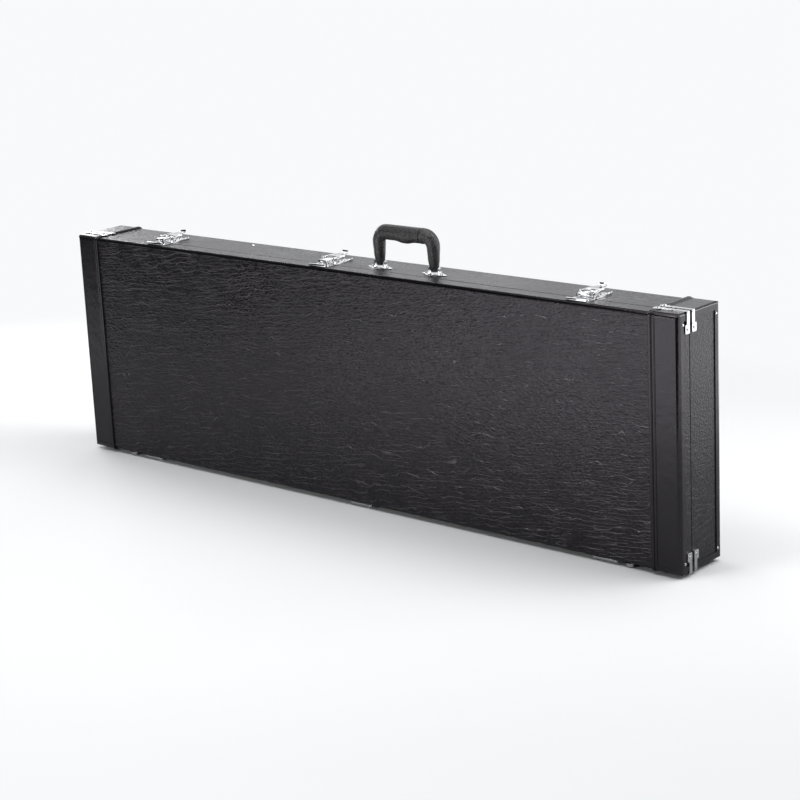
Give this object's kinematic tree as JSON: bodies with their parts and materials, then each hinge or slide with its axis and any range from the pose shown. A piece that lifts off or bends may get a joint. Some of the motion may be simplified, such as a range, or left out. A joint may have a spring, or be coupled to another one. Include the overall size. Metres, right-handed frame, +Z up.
{
  "type": "bass guitar case",
  "caption": "Long rectangular hard case for a bass guitar, with a shallow hinged lid, draw latches on top, a carrying handle, end bands and a plush-lined inside.",
  "frame": {"origin": "on the floor, under the middle of the standing case", "axes": "+X along the case's length towards the body end, +Y from the lid's face towards the base's back, +Z up"},
  "size_m": [1.2528, 0.1106, 0.4593],
  "materials": {
    "grained_vinyl": "black grained vinyl",
    "smooth_vinyl": "black smooth vinyl",
    "plywood": "bare plywood",
    "plush_foam": "black plush over foam",
    "plush_board": "black plush over board",
    "ribbon": "woven ribbon",
    "handle_leatherette": "pebbled leatherette",
    "chrome_plate": "bright plated",
    "steel": "plain strip steel"
  },
  "bodies": {
    "base": {"back_lining": "plush_foam", "base_back_panel": "plywood", "base_band_left": "smooth_vinyl", "base_band_right": "smooth_vinyl", "base_bottom_wall": "plywood", "base_corner_clamps": "chrome_plate", "base_cover": "grained_vinyl", "base_end_wall_left": "plywood", "base_end_wall_right": "plywood", "base_feet": "chrome_plate", "base_hinge_leaves": "chrome_plate", "base_nails": "chrome_plate", "base_rivets": "chrome_plate", "base_top_wall": "plywood", "body_pad_bottom": "plush_foam", "body_pad_end": "plush_foam", "body_pad_top": "plush_foam", "handle_pins": "chrome_plate", "handle_plates": "chrome_plate", "head_block_bottom": "plush_foam", "head_block_top": "plush_foam", "hinge_pins": "chrome_plate", "latch_pins": "chrome_plate", "latch_plate_left": "chrome_plate", "latch_plate_mid": "chrome_plate", "latch_plate_right": "chrome_plate", "neck_block_bottom": "plush_foam", "neck_block_top": "plush_foam", "neck_rest": "plush_foam", "pocket_wall_side": "plush_board", "pocket_wall_top": "plush_board", "rim_liner": "plush_board"},
    "lid": {"latch_keeper_left": "chrome_plate", "latch_keeper_mid": "chrome_plate", "latch_keeper_right": "chrome_plate", "lid_band_left": "smooth_vinyl", "lid_band_right": "smooth_vinyl", "lid_bottom_wall": "plywood", "lid_corner_clamps": "chrome_plate", "lid_cover": "grained_vinyl", "lid_end_wall_left": "plywood", "lid_end_wall_right": "plywood", "lid_feet": "chrome_plate", "lid_front_panel": "plywood", "lid_hinge_leaves": "chrome_plate", "lid_nails": "chrome_plate", "lid_padding": "plush_foam", "lid_rivets": "chrome_plate", "lid_top_wall": "plywood"},
    "handle": {"handle_grip": "handle_leatherette", "handle_core": "steel"},
    "pocket_lid": {"pocket_lid": "plush_board", "pocket_pull_tab": "ribbon"},
    "lever_left": {"latch_lever_left": "chrome_plate"},
    "bail_left": {"latch_bail_left": "chrome_plate"},
    "lever_mid": {"latch_lever_mid": "chrome_plate"},
    "bail_mid": {"latch_bail_mid": "chrome_plate"},
    "lever_right": {"latch_lever_right": "chrome_plate"},
    "bail_right": {"latch_bail_right": "chrome_plate"}
  },
  "joints": [
    {"name": "lid_hinge", "type": "hinge", "parent": "base", "child": "lid", "pos_m": [0, -0.0236, 0.004], "axis": [1, 0, 0], "range_deg": [0, 85]},
    {"name": "handle_swing", "type": "hinge", "parent": "base", "child": "handle", "pos_m": [0.091, -0.003, 0.3965], "axis": [1, 0, 0], "range_deg": [-80, 80]},
    {"name": "latch_left", "type": "hinge", "parent": "base", "child": "lever_left", "pos_m": [-0.434, -0.0181, 0.3952], "axis": [1, 0, 0], "range_deg": [0, 100]},
    {"name": "bail_left_swing", "type": "hinge", "parent": "lever_left", "child": "bail_left", "pos_m": [-0.434, -0.0116, 0.396], "axis": [1, 0, 0], "range_deg": [-100, 0]},
    {"name": "latch_mid", "type": "hinge", "parent": "base", "child": "lever_mid", "pos_m": [-0.059, -0.0181, 0.3952], "axis": [1, 0, 0], "range_deg": [0, 100]},
    {"name": "bail_mid_swing", "type": "hinge", "parent": "lever_mid", "child": "bail_mid", "pos_m": [-0.059, -0.0116, 0.396], "axis": [1, 0, 0], "range_deg": [-100, 0]},
    {"name": "latch_right", "type": "hinge", "parent": "base", "child": "lever_right", "pos_m": [0.446, -0.0181, 0.3952], "axis": [1, 0, 0], "range_deg": [0, 100]},
    {"name": "bail_right_swing", "type": "hinge", "parent": "lever_right", "child": "bail_right", "pos_m": [0.446, -0.0116, 0.396], "axis": [1, 0, 0], "range_deg": [-100, 0]},
    {"name": "pocket_lid_hinge", "type": "hinge", "parent": "base", "child": "pocket_lid", "pos_m": [-0.063, -0.0203, 0.022], "axis": [1, 0, 0], "range_deg": [0, 76.5]}
  ],
  "couplings": [
    {"joint": "bail_left_swing", "follows": "latch_left", "ratio": -1},
    {"joint": "bail_mid_swing", "follows": "latch_mid", "ratio": -1},
    {"joint": "bail_right_swing", "follows": "latch_right", "ratio": -1},
    {"joint": "pocket_lid_hinge", "follows": "lid_hinge", "ratio": 0.9}
  ]
}
